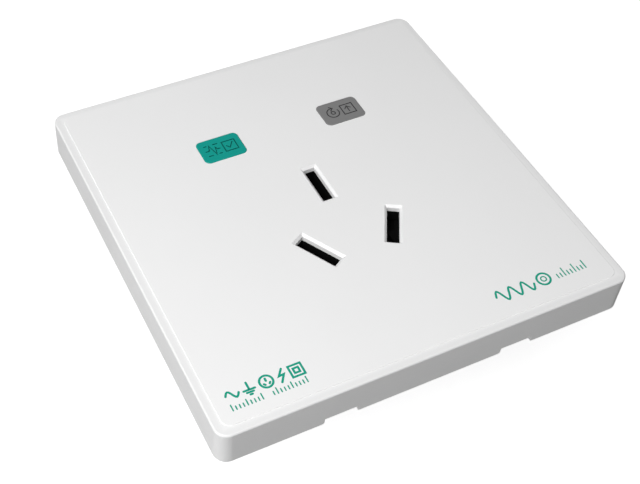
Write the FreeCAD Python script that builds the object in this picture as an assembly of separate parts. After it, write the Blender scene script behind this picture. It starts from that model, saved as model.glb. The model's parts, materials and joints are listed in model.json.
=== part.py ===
import FreeCAD
import Part
import math
import os

# A square wall socket with an arc fault interrupter, lying on its back: +Z points out of the wall,
# +Y is up on the wall, and z = 0 is the wall plane. The origin is midway between the two wall screws.
# All sizes are in millimetres.

# Faceplate
plate_side = 86.0
plate_corner = 2.6
face_height = 8.4
rim_height = 8.27
wall_draft = 0.08
panel_inset = 1.85
panel_corner = 1.8
rim_round = 0.42
panel_round = 0.12
face_skin = 1.5
side_wall = 1.8
notch_left_x = -18.95
notch_right_x = 18.3
notch_width = 6.7
notch_height = 1.4
notch_round = 0.5
hook_x = 22.0
hook_width = 8.0
hook_thickness = 1.2
hook_bite = 0.8
hook_inset = 4.8
hook_foot = 0.3
hook_slack = 0.4
hook_ledge = 0.6
rib_thickness = 0.9
rib_depth = 1.4
rib_inset = 8.0

# Pin slots: one upright for earth, and two that lean towards each other at the bottom
slot_length = 9.1
slot_width = 2.55
slot_chamfer = 0.5
earth_y = 3.15
pin_x = 8.27
pin_y = -12.58
pin_tilt = 30.0

# Button windows and buttons
button_side_inset = 11.0
button_y = 20.0
window_width = 9.45
window_height = 6.55
window_corner = 1.2
window_gap = 0.15
button_proud = 0.1
button_flange = 0.5
button_roof = 1.2
button_edge_round = 0.2
flange_drop = 2.3
button_shell = 1.0
test_travel = 1.2
reset_travel = 1.6
stem_radius = 1.5
stem_clearance = 0.25

# Mounting frame
frame_gap = 0.3
frame_corner = 1.2
web_top = 2.4
web_thickness = 1.6
frame_rim = 1.4
frame_rim_height = 4.0
frame_rib = 1.2
frame_rib_spacing = 13.0
screw_spacing = 60.3
screw_slot_width = 4.4
screw_slot_length = 7.4
screw_pad_length = 12.0
screw_pad_width = 11.0
well_wall = 0.9
well_height = 4.6
closed_spring_room = 4.05
well_floor_thickness = 1.4

# Housing behind the wall plane
body_half_x = 25.0
body_half_y = 27.0
body_centre_y = 1.0
body_corner = 3.0
body_wall = 1.6
body_depth = 30.0
body_floor = 1.6
body_edge = 0.6
split_depth = 6.0
lip_depth = 1.4
lip_clearance = 0.1
boss_radius = 2.4
boss_inset_x = 3.0
boss_inset_y = 3.4
screw_radius = 1.3
screw_head_radius = 2.5
screw_head_height = 1.8
screw_bite = 6.0
screw_recess = 0.9

# Black socket core with the pin shutter inside
core_low_y = -21.2
core_high_y = 9.4
core_corner = 2.0
core_gap = 0.15
core_wall = 1.2
core_top_skin = 2.4
core_bottom = -1.2
core_bottom_skin = 1.2
core_flange = 1.2
core_slot_gap = 0.1
shutter_gap = 0.15
shutter_travel = 3.2
shutter_bar = 2.9
shutter_rail = 1.6
shutter_ramp = 2.2
shutter_seat_half = 1.6

# Contacts for the plug pins
leaf_thickness = 0.6
leaf_width = 7.6
pinch_gap = 1.5
mouth_gap = 3.4
contact_base_gap = 2.8
contact_top = -2.4
pocket_wall = 0.9
pocket_gap = 0.35
pocket_top = -1.6

# Inner carrier and circuit board
carrier_top = -15.4
carrier_thickness = 1.6
carrier_gap = 0.2
stem_way = 0.3
board_standoff = 2.0
board_thickness = 1.6
board_side_gap = 4.8
board_terminal_gap = 2.5
board_end_gap = 3.9
board_corner = 1.5
standoff_radius = 1.2
standoff_inset = 1.8
pillar_front_y = 8.0
pillar_rear_y = -3.5

# Conductor strips
strip_thickness = 0.8
strip_width = 2.2
strip_top = -4.4
tip_radius = 1.3
tip_height = 0.7
side_strip_inset = 3.0
line_drop_y = -9.5
neutral_drop_x = -6.2
neutral_drop_y = -3.5
neutral_cross_y = 12.9
neutral_return_y = 10.0
neutral_rise_x = 4.0
strip_gap = 0.25

# Terminals
terminal_side_inset = 10.0
terminal_end_inset = 5.5
terminal_width = 7.0
terminal_seat_height = 0.9
terminal_top = -18.5
wire_radius = 1.8
wire_entry_radius = 2.3
wire_funnel = 0.7
terminal_edge = 0.4
terminal_groove = 0.8
terminal_screw_radius = 1.5
terminal_screw_head = 2.2
terminal_screw_rise = 4.0
screw_access_radius = 2.7

# Trip mechanism
pole_offset = 4.8
bridge_y = 16.8
bridge_reach = 3.6
bridge_width = 3.0
bridge_overhang = 1.5
contact_gap = 0.1
contact_spring_height = 2.0
carriage_floor = 1.5
carriage_half_x = 3.3
carriage_half_y = 3.0
carriage_lip = 0.6
carriage_ear = 1.0
wing_half_x = 1.9
wing_half_y = 1.6
peg_radius = 0.7
latch_thickness = 1.0
latch_gap = 0.2
latch_half_y = 2.2
latch_reach_right = 3.7
latch_reach_left = 6.7
latch_tab = 2.4
trip_travel = 2.0
neck_radius = 0.8
head_height = 1.5
head_point = 1.2
stem_shoulder = 0.9
guide_radius = 1.1
guide_gap = 0.25
guide_offset = 4.3

# Trip solenoid
solenoid_z = -12.2
solenoid_test_gap = 5.9
solenoid_latch_gap = 4.8
flange_radius = 2.6
flange_thickness = 0.8
coil_radius = 2.4
tube_radius = 1.8
plunger_radius = 1.3
plunger_gap = 0.2
yoke_thickness = 0.6
yoke_margin = 0.4
core_setback = 1.5
nose_gap = 0.3
collar_radius = 2.0
collar_thickness = 0.6
collar_stand = 3.0

# Coil springs
button_spring_wire = 0.4
button_spring_radius = 2.0
button_spring_turns = 5
small_spring_wire = 0.3
small_spring_radius = 1.15
shutter_spring_turns = 5
plunger_spring_turns = 3
bridge_spring_turns = 2

# Test switch
test_leaf_thickness = 0.4
test_leaf_half_width = 1.5
test_leaf_top = -5.8
test_stem_gap = 0.4
test_leaf_root_y = 10.6
test_leaf_pivot_y = 11.8
test_post_radius = 0.8
test_post_y = 22.3

# Board parts: places run from the board's edges, and the tall parts end short of the housing's floor
chip_half = 3.5
chip_height = 1.2
chip_y = -2.0
lead_pitch = 0.9
lead_half = 0.2
lead_reach = 0.8
lead_height = 0.3
varistor_floor_gap = 0.7
varistor_thickness = 3.6
varistor_edge_x = 8.4
varistor_edge_y = 8.5
varistor_lead = 0.4
film_half_x = 6.0
film_half_y = 3.0
film_floor_gap = 1.4
film_x = 2.0
film_edge_y = 5.5
bulk_radius = 3.6
bulk_floor_gap = 0.6
bulk_edge_x = 6.6
bulk_y = 3.0
choke_radius = 3.2
choke_waist = 2.4
choke_floor_gap = 1.8
choke_end = 1.0
choke_edge_x = 7.6
choke_y = 12.0
sensor_radius = 4.0
sensor_bore = 1.7
sensor_height = 4.6

# Small margins: a cut runs past its solid, joined pieces sink into each other, and near faces stand apart
cut_over = 1.0
join = 0.3
near = 0.1
hair = 0.02

V = FreeCAD.Vector
X_AXIS = V(1, 0, 0)
Y_AXIS = V(0, 1, 0)
Z_AXIS = V(0, 0, 1)
SIDES = (-1, 1)
LEAN_COS = math.cos(math.radians(pin_tilt))
LEAN_SIN = math.sin(math.radians(pin_tilt))
LEAN_TAN = math.tan(math.radians(pin_tilt))

# Levels and places that follow from the sizes above
plate_half = plate_side / 2
skin_under = face_height - face_skin
cavity_half = plate_half - side_wall
frame_half = cavity_half - frame_gap
web_under = web_top - web_thickness
hook_outer_y = frame_half - hook_inset + hook_thickness
window_half = (window_width / 2, window_height / 2)
cap_half = (window_half[0] - window_gap, window_half[1] - window_gap)
flange_half = (cap_half[0] + button_flange, cap_half[1] + button_flange)
well_half = (flange_half[0] + window_gap, flange_half[1] + window_gap)
cap_top = face_height + button_proud
cap_roof_under = cap_top - button_roof
flange_top = skin_under - window_gap
flange_under = flange_top - flange_drop
well_floor = flange_under - reset_travel - closed_spring_room
well_under = well_floor - well_floor_thickness
body_low_y = body_centre_y - body_half_y
body_high_y = body_centre_y + body_half_y
body_floor_top = -body_depth + body_floor
button_x = body_half_x - button_side_inset
side_strip_x = body_half_x - side_strip_inset
boss_x = body_half_x - boss_inset_x
boss_y = body_half_y - boss_inset_y
boss_places = [(a * boss_x, body_centre_y + b * boss_y) for a in SIDES for b in SIDES]

slot_end_y = slot_length / 2 * LEAN_COS + slot_width / 2
shutter_low_y = pin_y - slot_end_y - shutter_rail - shutter_gap
shutter_high_y = pin_y + slot_end_y + shutter_rail + shutter_gap
shutter_lean = (shutter_high_y - pin_y) * LEAN_TAN
shutter_reach = pin_x + shutter_lean + shutter_bar / 2 / LEAN_COS
core_half_x = shutter_reach + shutter_travel + shutter_gap + core_wall
core_centre_y = (core_low_y + core_high_y) / 2
core_half_y = (core_high_y - core_low_y) / 2
core_top = skin_under - core_gap
core_ceiling = core_top - core_top_skin
core_floor = core_bottom + core_bottom_skin
shutter_top = core_ceiling - shutter_gap
shutter_under = core_floor + shutter_gap

carrier_under = carrier_top - carrier_thickness
board_top = carrier_under - board_standoff
board_under = board_top - board_thickness
board_room = board_under - body_floor_top
board_half_x = body_half_x - body_wall - board_side_gap
board_high_y = body_high_y - body_wall - board_end_gap
strip_under = strip_top - strip_thickness
strip_half = strip_width / 2
foot_top = carrier_top + strip_thickness
fixed_tip_under = strip_under - tip_height
bridge_tip_top = fixed_tip_under - contact_gap
bridge_top = bridge_tip_top - tip_height
bridge_under = bridge_top - strip_thickness
carriage_floor_top = bridge_under - contact_spring_height
carriage_under = carriage_floor_top - carriage_floor
latch_top = carriage_under - latch_gap
latch_under = latch_top - latch_thickness
latch_left = button_x - latch_reach_left
head_top = latch_under - latch_gap
head_under = head_top - head_height
line_pole_x = button_x + pole_offset
neutral_pole_x = button_x - pole_offset
front_pad_y = bridge_y - bridge_reach
rear_pad_y = bridge_y + bridge_reach
pole_pads = [(x, y) for x in (line_pole_x, neutral_pole_x) for y in (front_pad_y, rear_pad_y)]
terminal_x = body_half_x - terminal_side_inset
terminal_y = body_low_y + terminal_end_inset
terminal_under = body_floor_top + terminal_seat_height
terminal_screw_z = terminal_under + terminal_screw_rise
test_leaf_under = test_leaf_top - test_leaf_thickness
test_leaf_push = test_travel - test_stem_gap + hair
test_leaf_swing = math.atan(test_leaf_push / (button_y - stem_radius - test_leaf_pivot_y))
terminal_half = terminal_width / 2
terminal_front_y = terminal_y + terminal_half
board_low_y = terminal_front_y + board_terminal_gap
solenoid_right = latch_left - solenoid_latch_gap
solenoid_left = -button_x + solenoid_test_gap
yoke_left = solenoid_left - yoke_thickness
yoke_right = solenoid_right + yoke_thickness
PIN_PLACES = {
    "earth": (0.0, earth_y, 0.0),
    "neutral": (-pin_x, pin_y, pin_tilt),
    "line": (pin_x, pin_y, -pin_tilt),
}
TERMINALS = {"line": terminal_x, "neutral": -terminal_x, "earth": 0.0}


# Basic shapes

def block(x_pair, y_pair, z_pair):
    """A box between two values on each axis."""
    low = V(min(x_pair), min(y_pair), min(z_pair))
    size = V(max(x_pair), max(y_pair), max(z_pair)) - low
    return Part.makeBox(size.x, size.y, size.z, low)


def about(middle, half):
    """The pair of values that lie a half width to either side of a middle."""
    return (middle - half, middle + half)


def rod(radius, start, axis, length):
    """A cylinder that starts at a point and runs along an axis."""
    return Part.makeCylinder(radius, length, V(*start), axis)


def upright(radius, x, y, z_pair):
    """A cylinder along Z between two heights."""
    return rod(radius, (x, y, min(z_pair)), Z_AXIS, max(z_pair) - min(z_pair))


def rounded_outline(half_x, half_y, radius, z, centre=(0.0, 0.0)):
    """A rectangle with round corners at one height, as a closed wire."""
    arcs = []
    for side_x, side_y, start in ((1, 1, 0), (-1, 1, 90), (-1, -1, 180), (1, -1, 270)):
        cx = centre[0] + side_x * (half_x - radius)
        cy = centre[1] + side_y * (half_y - radius)
        turns = [math.radians(angle) for angle in (start, start + 45, start + 90)]
        arcs.append([V(cx + radius * math.cos(t), cy + radius * math.sin(t), z) for t in turns])
    edges = []
    for arc, following in zip(arcs, arcs[1:] + arcs[:1]):
        edges.append(Part.Arc(*arc).toShape())
        edges.append(Part.LineSegment(arc[2], following[0]).toShape())
    return Part.Wire(edges)


def rounded_prism(half_x, half_y, radius, z_pair, centre=(0.0, 0.0)):
    """A straight prism with a round-cornered rectangular section."""
    outline = rounded_outline(half_x, half_y, radius, min(z_pair), centre)
    return Part.Face(outline).extrude(V(0, 0, max(z_pair) - min(z_pair)))


def rectangle(half_x, half_y, z):
    """A sharp-cornered rectangle at one height, as a closed wire."""
    corners = [(half_x, half_y), (-half_x, half_y), (-half_x, -half_y), (half_x, -half_y)]
    return Part.makePolygon([V(x, y, z) for x, y in corners + corners[:1]])


def extruded(points, axis, length):
    """A polygon of 3-D points, extruded along an axis."""
    return Part.Face(Part.makePolygon(points + points[:1])).extrude(axis * length)


def ribbon(points, thickness):
    """The outline of a bent sheet-metal strip, from its centreline in two coordinates."""
    left = []
    right = []
    for index, point in enumerate(points):
        before = points[max(index - 1, 0)]
        after = points[min(index + 1, len(points) - 1)]
        normals = []
        for start, end in ((before, point), (point, after)):
            length = math.dist(start, end)
            if length > 0:
                normals.append(((start[1] - end[1]) / length, (end[0] - start[0]) / length))
        nu = sum(n[0] for n in normals) / len(normals)
        nv = sum(n[1] for n in normals) / len(normals)
        reach = thickness / 2 / (nu * nu + nv * nv)
        left.append((point[0] + nu * reach, point[1] + nv * reach))
        right.append((point[0] - nu * reach, point[1] - nv * reach))
    return left + right[::-1]


def flat_strip(path, width, z_pair):
    """A flat strip that follows axis-parallel legs in plan, with square corners."""
    legs = []
    for start, end in zip(path, path[1:]):
        x_pair = (min(start[0], end[0]) - width / 2, max(start[0], end[0]) + width / 2)
        y_pair = (min(start[1], end[1]) - width / 2, max(start[1], end[1]) + width / 2)
        legs.append(block(x_pair, y_pair, z_pair))
    return fused(legs)


def fused(shapes):
    """One clean solid from overlapping shapes."""
    whole = shapes[0]
    if len(shapes) > 1:
        whole = whole.fuse(shapes[1:])
    return whole.removeSplitter()


def cut_all(shape, tools):
    """The shape with every tool taken out of it."""
    return shape.cut(tools).removeSplitter()


def turned(shape, degrees, x, y):
    """A shape built at the origin, turned about Z and moved in plan."""
    moved = shape.copy()
    moved.rotate(V(0, 0, 0), Z_AXIS, degrees)
    moved.translate(V(x, y, 0))
    return moved


def in_quarter(shape, side_x, side_y):
    """A shape built in the first quarter, mirrored into the quarter that is asked for."""
    if side_x < 0:
        shape = shape.mirror(V(0, 0, 0), X_AXIS)
    if side_y < 0:
        shape = shape.mirror(V(0, 0, 0), Y_AXIS)
    return shape


def edges_at(shape, height):
    """The edges of a shape that lie wholly at one height."""
    return [e for e in shape.Edges if all(abs(v.Z - height) < hair / 100 for v in e.Vertexes)]


def upright_edges(shape):
    """The straight vertical edges of a shape."""
    return [e for e in shape.Edges if abs(e.tangentAt(e.FirstParameter).z) > 0.99]


def round_edges(shape):
    """The circular edges of a shape."""
    return [e for e in shape.Edges if e.Curve.TypeId == "Part::GeomCircle"]


def coil_spring(start, axis, room, mean_radius, wire, turns):
    """A helical spring that fills the room between two seats along an axis."""
    rise = (room - wire) / turns
    quarters = 4 * turns

    def on_helix(quarter):
        turn = math.pi / 2 * quarter
        return V(mean_radius * math.cos(turn), mean_radius * math.sin(turn), wire / 2 + rise * quarter / 4)

    arcs = [Part.Arc(on_helix(q), on_helix(q + 0.5), on_helix(q + 1)).toShape() for q in range(quarters)]
    start_tangent = arcs[0].tangentAt(arcs[0].FirstParameter)
    section = Part.Wire(Part.Circle(on_helix(0), start_tangent, wire / 2).toShape())
    spring = Part.Wire(arcs).makePipeShell([section], True)
    spring.rotate(V(0, 0, 0), Y_AXIS, math.degrees(math.atan2(axis.x, axis.z)))
    spring.translate(V(*start))
    return spring


# Pin slots

def at_pin(shape, name):
    """A shape built at the origin, moved to one pin's place and lean."""
    x, y, tilt = PIN_PLACES[name]
    return turned(shape, tilt, x, y)


def slot_prism(grow, z_pair, name):
    """A straight slot for one pin, grown by a gap."""
    half_width = slot_width / 2 + grow
    half_length = slot_length / 2 + grow
    return at_pin(block(about(0, half_width), about(0, half_length), z_pair), name)


def slot_mouth(name):
    """The sloped lead-in round a pin slot at the face."""
    outer = slot_chamfer + hair
    bottom = rectangle(slot_width / 2, slot_length / 2, face_height - slot_chamfer)
    top = rectangle(slot_width / 2 + outer, slot_length / 2 + outer, face_height + hair)
    return at_pin(Part.makeLoft([bottom, top], True, True), name)


# Faceplate

def plate_shell():
    """The outer form: drafted walls, a rounded rim and the raised panel, hollowed from behind."""
    top_half = plate_half - wall_draft
    panel_half = plate_half - panel_inset
    outlines = [
        rounded_outline(plate_half, plate_half, plate_corner, 0),
        rounded_outline(top_half, top_half, plate_corner - wall_draft, rim_height),
    ]
    body = Part.makeLoft(outlines, True, True)
    body = body.makeFillet(rim_round, edges_at(body, rim_height))
    panel = rounded_prism(panel_half, panel_half, panel_corner, (skin_under, face_height))
    panel = panel.makeFillet(panel_round, edges_at(panel, face_height))
    cavity_corner = plate_corner - side_wall / 2
    cavity = rounded_prism(cavity_half, cavity_half, cavity_corner, (-cut_over, skin_under))
    return body.fuse(panel).cut(cavity).removeSplitter()


def stiffening_rib():
    """The low square rib behind the face."""
    outer = plate_half - rib_inset
    inner = outer - rib_thickness
    z_pair = (skin_under - rib_depth, skin_under)
    ring = rounded_prism(outer, outer, plate_corner, z_pair)
    return ring.cut(rounded_prism(inner, inner, plate_corner, z_pair))


def snap_hook(side_x, side_y):
    """A tongue behind the face with a barb that catches under the mounting frame."""
    inner_y = hook_outer_y - hook_thickness
    barb_y = hook_outer_y + hook_bite
    barb_top = web_under + hook_ledge - 2 * near
    profile = [
        (inner_y, hook_foot),
        (hook_outer_y, hook_foot),
        (barb_y, barb_top - hook_bite / 2),
        (barb_y, barb_top),
        (hook_outer_y, barb_top),
        (hook_outer_y, skin_under),
        (inner_y, skin_under),
    ]
    start_x = hook_x - hook_width / 2
    hook = extruded([V(start_x, y, z) for y, z in profile], X_AXIS, hook_width)
    return in_quarter(hook, side_x, side_y)


def pry_notch(x):
    """A notch in the bottom wall for a screwdriver, with rounded corners at its mouth."""
    y_pair = (-plate_half - cut_over, -plate_half + side_wall + cut_over)
    tool = block(about(x, notch_width / 2), y_pair, (-cut_over, notch_height))
    for side in SIDES:
        edge_x = x + side * notch_width / 2
        round_x = edge_x + side * notch_round
        flare = block(sorted((edge_x - side * join, round_x)), y_pair, (-cut_over, notch_round))
        round_start = (round_x, y_pair[0] - cut_over, notch_round)
        flare = flare.cut(rod(notch_round, round_start, Y_AXIS, side_wall + 4 * cut_over))
        tool = tool.fuse(flare)
    return tool


def faceplate():
    """The white snap-on cover with its pin slots, button windows, pry notches and hooks."""
    hooks = [snap_hook(a, b) for a in SIDES for b in SIDES]
    whole = fused([plate_shell(), stiffening_rib()] + hooks)
    tools = [pry_notch(notch_left_x), pry_notch(notch_right_x)]
    for name in PIN_PLACES:
        tools.append(slot_prism(0, (0, face_height), name))
        tools.append(slot_mouth(name))
    window_z = (0, face_height + cut_over)
    for side in SIDES:
        tools.append(rounded_prism(*window_half, window_corner, window_z, (side * button_x, button_y)))
    return cut_all(whole, tools)


# Mounting frame with the front half of the housing

def body_prism(shrink, z_pair):
    """The housing's section, drawn in by an amount on every side."""
    corner = max(body_corner - shrink, body_corner / 4)
    centre = (0, body_centre_y)
    return rounded_prism(body_half_x - shrink, body_half_y - shrink, corner, z_pair, centre)


def frame_web():
    """The square plate of the frame with its raised rim and the ribs on its back."""
    inner = frame_half - frame_rim
    rim_z = (0, frame_rim_height)
    rim = rounded_prism(frame_half, frame_half, frame_corner, rim_z)
    rim = rim.cut(rounded_prism(inner, inner, frame_corner, (-cut_over, frame_rim_height + cut_over)))
    parts = [rounded_prism(frame_half, frame_half, frame_corner, (web_under, web_top)), rim]
    reach = frame_half - frame_rim / 2
    for side in SIDES:
        along_x = (side * (body_half_x - body_wall), side * reach)
        along_y = (body_centre_y + side * (body_half_y - body_wall), side * reach)
        for place in (-frame_rib_spacing, frame_rib_spacing):
            across = about(place, frame_rib / 2)
            parts.append(block(along_x, across, (0, web_top)))
            parts.append(block(across, along_y, (0, web_top)))
        pad_half = (screw_pad_length / 2, screw_pad_width / 2)
        pad_centre = (side * screw_spacing / 2, 0)
        parts.append(rounded_prism(*pad_half, frame_corner, (0, web_top), pad_centre))
    return parts


def screw_slot(side):
    """The slot for one wall screw, long in X so that the box's holes can be off."""
    x = side * screw_spacing / 2
    z_pair = (-cut_over, web_top + cut_over)
    radius = screw_slot_width / 2
    run = screw_slot_length / 2 - radius
    ends = [upright(radius, x + end * run, 0, z_pair) for end in SIDES]
    return fused(ends + [block(about(x, run), about(0, radius), z_pair)])


def hook_window(side_x, side_y):
    """The way through the frame for a snap hook, with the ledge that its barb catches."""
    x_pair = about(hook_x, hook_width / 2 + hook_slack)
    way_y = (hook_outer_y - hook_thickness - hook_slack, hook_outer_y + hook_slack / 2)
    way = block(x_pair, way_y, (-cut_over, web_top + cut_over))
    recess_y = (hook_outer_y, hook_outer_y + hook_bite + hook_slack)
    recess = block(x_pair, recess_y, (-cut_over, web_under + hook_ledge))
    return in_quarter(way.fuse(recess), side_x, side_y)


def button_well(side):
    """The sleeve and spring seat under one button."""
    half = (well_half[0] + well_wall, well_half[1] + well_wall)
    centre = (side * button_x, button_y)
    return rounded_prism(*half, window_corner + well_wall, (well_under, well_height), centre)


def front_skirt():
    """The front part of the housing wall, with the lip that enters the rear housing."""
    skirt = body_prism(0, (-split_depth, web_top))
    skirt = skirt.cut(body_prism(body_wall, (-split_depth - cut_over, web_under)))
    lip_under = -split_depth - lip_depth
    lip = body_prism(body_wall / 2 + lip_clearance, (lip_under, -split_depth + join))
    lip = lip.cut(body_prism(body_wall, (lip_under - cut_over, cut_over)))
    return [skirt, lip]


def mounting_frame():
    """The frame that is screwed to the wall box, moulded in one with the front of the housing."""
    parts = frame_web() + front_skirt()
    parts += [button_well(side) for side in SIDES]
    inside = body_prism(body_wall + lip_clearance, (carrier_top, web_top))
    parts += [upright(boss_radius, x, y, (carrier_top, web_top)).common(inside) for x, y in boss_places]
    tools = [screw_slot(side) for side in SIDES]
    tools += [hook_window(a, b) for a in SIDES for b in SIDES]
    tools.append(core_block(core_gap, (web_under - cut_over, web_top + cut_over)))
    screw_z = (carrier_top - cut_over, carrier_top + screw_bite + cut_over)
    tools += [upright(screw_radius + hair, x, y, screw_z) for x, y in boss_places]
    for side in SIDES:
        centre = (side * button_x, button_y)
        well_z = (well_floor, well_height + cut_over)
        tools.append(rounded_prism(*well_half, window_corner, well_z, centre))
        stem_z = (well_under - cut_over, well_floor + cut_over)
        tools.append(upright(stem_radius + stem_clearance, *centre, stem_z))
    return cut_all(fused(parts), tools)


# Rear housing

def terminal_seats():
    """The seats and dividing walls for the terminals, on the floor of the rear housing."""
    y_pair = (body_low_y + body_wall / 2, terminal_front_y + frame_rib)
    z_low = -body_depth + body_floor / 2
    shapes = []
    for x in TERMINALS.values():
        shapes.append(block(about(x, terminal_half), y_pair, (z_low, terminal_under)))
    for side in SIDES:
        shapes.append(block(about(side * terminal_x / 2, frame_rib / 2), y_pair, (z_low, terminal_top)))
    return shapes


def rear_housing():
    """The cup that closes the back, with terminal seats, screw tubes and wire entries."""
    low = -body_depth
    cup = body_prism(0, (low, -split_depth))
    cup = cup.makeChamfer(body_edge, edges_at(cup, low))
    cup = cup.cut(body_prism(body_wall, (body_floor_top, cut_over)))
    cup = cup.cut(body_prism(body_wall / 2, (-split_depth - lip_depth - lip_clearance, cut_over)))
    tube_z = (low + body_floor / 2, carrier_under)
    inside = body_prism(body_wall / 2, tube_z)
    parts = [cup] + terminal_seats()
    parts += [upright(boss_radius, x, y, tube_z).common(inside) for x, y in boss_places]
    tools = []
    for x, y in boss_places:
        tools.append(upright(screw_radius + 2 * near, x, y, (low - cut_over, carrier_under + cut_over)))
        head_z = (low - cut_over, low + screw_recess + screw_head_height)
        tools.append(upright(screw_head_radius + 2 * near, x, y, head_z))
    for x in TERMINALS.values():
        tools.append(upright(wire_entry_radius, x, terminal_y, (low - cut_over, terminal_under + cut_over)))
        mouth = wire_entry_radius + wire_funnel
        tools.append(Part.makeCone(mouth, wire_entry_radius, wire_funnel, V(x, terminal_y, low), Z_AXIS))
        start = (x, body_low_y - cut_over, terminal_screw_z)
        tools.append(rod(screw_access_radius, start, Y_AXIS, body_wall + 2 * cut_over))
    return cut_all(fused(parts), tools)


def cross_recess(x, y, z, depth, arm):
    """The cross-shaped recess in a screw head that faces the back."""
    z_pair = (z - cut_over, z + depth)
    blade = arm / 4
    return block(about(x, arm), about(y, blade), z_pair).fuse(block(about(x, blade), about(y, arm), z_pair))


def housing_screws():
    """Four pan-head screws that close the housing from the back."""
    screws = []
    outer_z = -body_depth + screw_recess
    seat_z = outer_z + screw_head_height
    for x, y in boss_places:
        head = upright(screw_head_radius, x, y, (outer_z, seat_z))
        head = head.makeFillet(screw_head_height / 3, edges_at(head, outer_z))
        shank = upright(screw_radius, x, y, (seat_z - join, carrier_top + screw_bite))
        recess = cross_recess(x, y, outer_z, screw_head_height / 2, screw_head_radius * 0.6)
        screws.append(fused([head, shank]).cut(recess))
    return Part.makeCompound(screws)


# Socket core and shutter

def core_block(grow, z_pair):
    """The plan of the socket core, grown by a gap."""
    centre = (0, core_centre_y)
    return rounded_prism(core_half_x + grow, core_half_y + grow, core_corner, z_pair, centre)


def socket_core():
    """The black insulating block behind the face, with pin guides and the shutter's cavity."""
    flange = core_block(core_flange, (core_bottom, web_under - near))
    whole = fused([core_block(0, (core_bottom, core_top)), flange])
    cavity_x = (-shutter_reach - shutter_gap, core_half_x - core_wall)
    cavity_y = (shutter_low_y - shutter_gap, shutter_high_y + shutter_gap)
    tools = [block(cavity_x, cavity_y, (core_floor, core_ceiling))]
    guide_z = (core_bottom - cut_over, core_top + cut_over)
    tools += [slot_prism(core_slot_gap, guide_z, name) for name in PIN_PLACES]
    return cut_all(whole, tools)


def shutter_bar_solid(name):
    """One slanted bar of the shutter, with the ramp that a pin pushes aside."""
    half = shutter_bar / 2
    reach = (shutter_high_y - shutter_low_y) / LEAN_COS
    profile = [
        (-half, shutter_under),
        (half, shutter_under),
        (half, shutter_top),
        (-half + shutter_ramp, shutter_top),
        (-half, shutter_top - shutter_ramp),
    ]
    bar = at_pin(extruded([V(u, -reach, z) for u, z in profile], Y_AXIS, 2 * reach), name)
    return bar.common(shutter_room())


def shutter_room():
    """The block of space that the shutter fills in plan."""
    y_pair = (shutter_low_y, shutter_high_y)
    return block(about(0, shutter_reach), y_pair, (shutter_under, shutter_top))


def pin_shutter():
    """The sliding gate over the line and neutral slots: two slanted bars, two rails and a spring seat."""
    z_pair = (shutter_under, shutter_top)
    parts = [shutter_bar_solid(name) for name in ("neutral", "line")]
    low_x = pin_x - shutter_lean
    parts.append(block(about(0, low_x), (shutter_low_y, shutter_low_y + shutter_rail), z_pair))
    high_x = shutter_reach - shutter_bar / 2
    parts.append(block(about(0, high_x), (shutter_high_y - shutter_rail, shutter_high_y), z_pair))
    parts.append(block((pin_x, shutter_seat_x()), about(pin_y, shutter_seat_half), z_pair))
    return fused(parts)


def shutter_seat_x():
    """The flat end of the shutter's spring seat."""
    return pin_x + shutter_bar / 2 / LEAN_COS + shutter_seat_half * LEAN_TAN


def shutter_spring():
    """The small spring that closes the shutter."""
    start_x = shutter_seat_x() + hair
    room = core_half_x - core_wall - hair - start_x
    start = (start_x, pin_y, (shutter_top + shutter_under) / 2)
    return coil_spring(start, X_AXIS, room, small_spring_radius, small_spring_wire, shutter_spring_turns)


# Pin contacts and the carrier that holds them

def contact_profile():
    """The centreline of a twin-leaf contact across the pin: mouth, pinch, base and back up."""
    half = leaf_thickness / 2
    height = contact_top - carrier_top
    right = [
        (contact_base_gap / 2 + half, carrier_top + half),
        (contact_base_gap / 2 + half, carrier_top + height * 0.15),
        (pinch_gap / 2 + half, carrier_top + height * 0.75),
        (mouth_gap / 2 + half, contact_top - half),
    ]
    return [(-u, z) for u, z in right[::-1]] + right


def pin_contact(name):
    """A brass contact folded from one strip, which grips a flat pin between its two leaves."""
    outline = [V(u, -leaf_width / 2, z) for u, z in ribbon(contact_profile(), leaf_thickness)]
    return at_pin(extruded(outline, Y_AXIS, leaf_width), name)


def pocket(name, grow, z_pair):
    """The plan of a contact's pocket in the carrier, grown by a wall."""
    half_u = mouth_gap / 2 + leaf_thickness + pocket_gap + grow
    half_v = leaf_width / 2 + pocket_gap + grow
    return at_pin(block(about(0, half_u), about(0, half_v), z_pair), name)


def pillar_places():
    """Plan places of the carrier's pillars that hold up the conductor strips."""
    sides = [(side * side_strip_x, y) for side in SIDES for y in (pillar_front_y, pillar_rear_y)]
    middle_y = (neutral_drop_y + neutral_return_y) / 2
    return sides + [(line_pole_x, middle_y), (neutral_drop_x, middle_y + strip_width)]


def carrier_openings():
    """What is cut from the carrier: strip channels, legs, the reset stem's way and screw holes."""
    through = (carrier_under - cut_over, carrier_top + cut_over)
    channel = (carrier_top, foot_top + strip_gap)
    width = strip_width + 2 * strip_gap
    tools = [flat_strip(path, width, channel) for path in (line_foot, neutral_foot, earth_foot)]
    tools += [side_leg(side, strip_gap, through) for side in SIDES]
    tools.append(earth_leg(strip_gap, through))
    tools.append(upright(stem_radius + stem_way, button_x, button_y, through))
    tools += [upright(screw_radius + 2 * near, x, y, through) for x, y in boss_places]
    return tools


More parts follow.
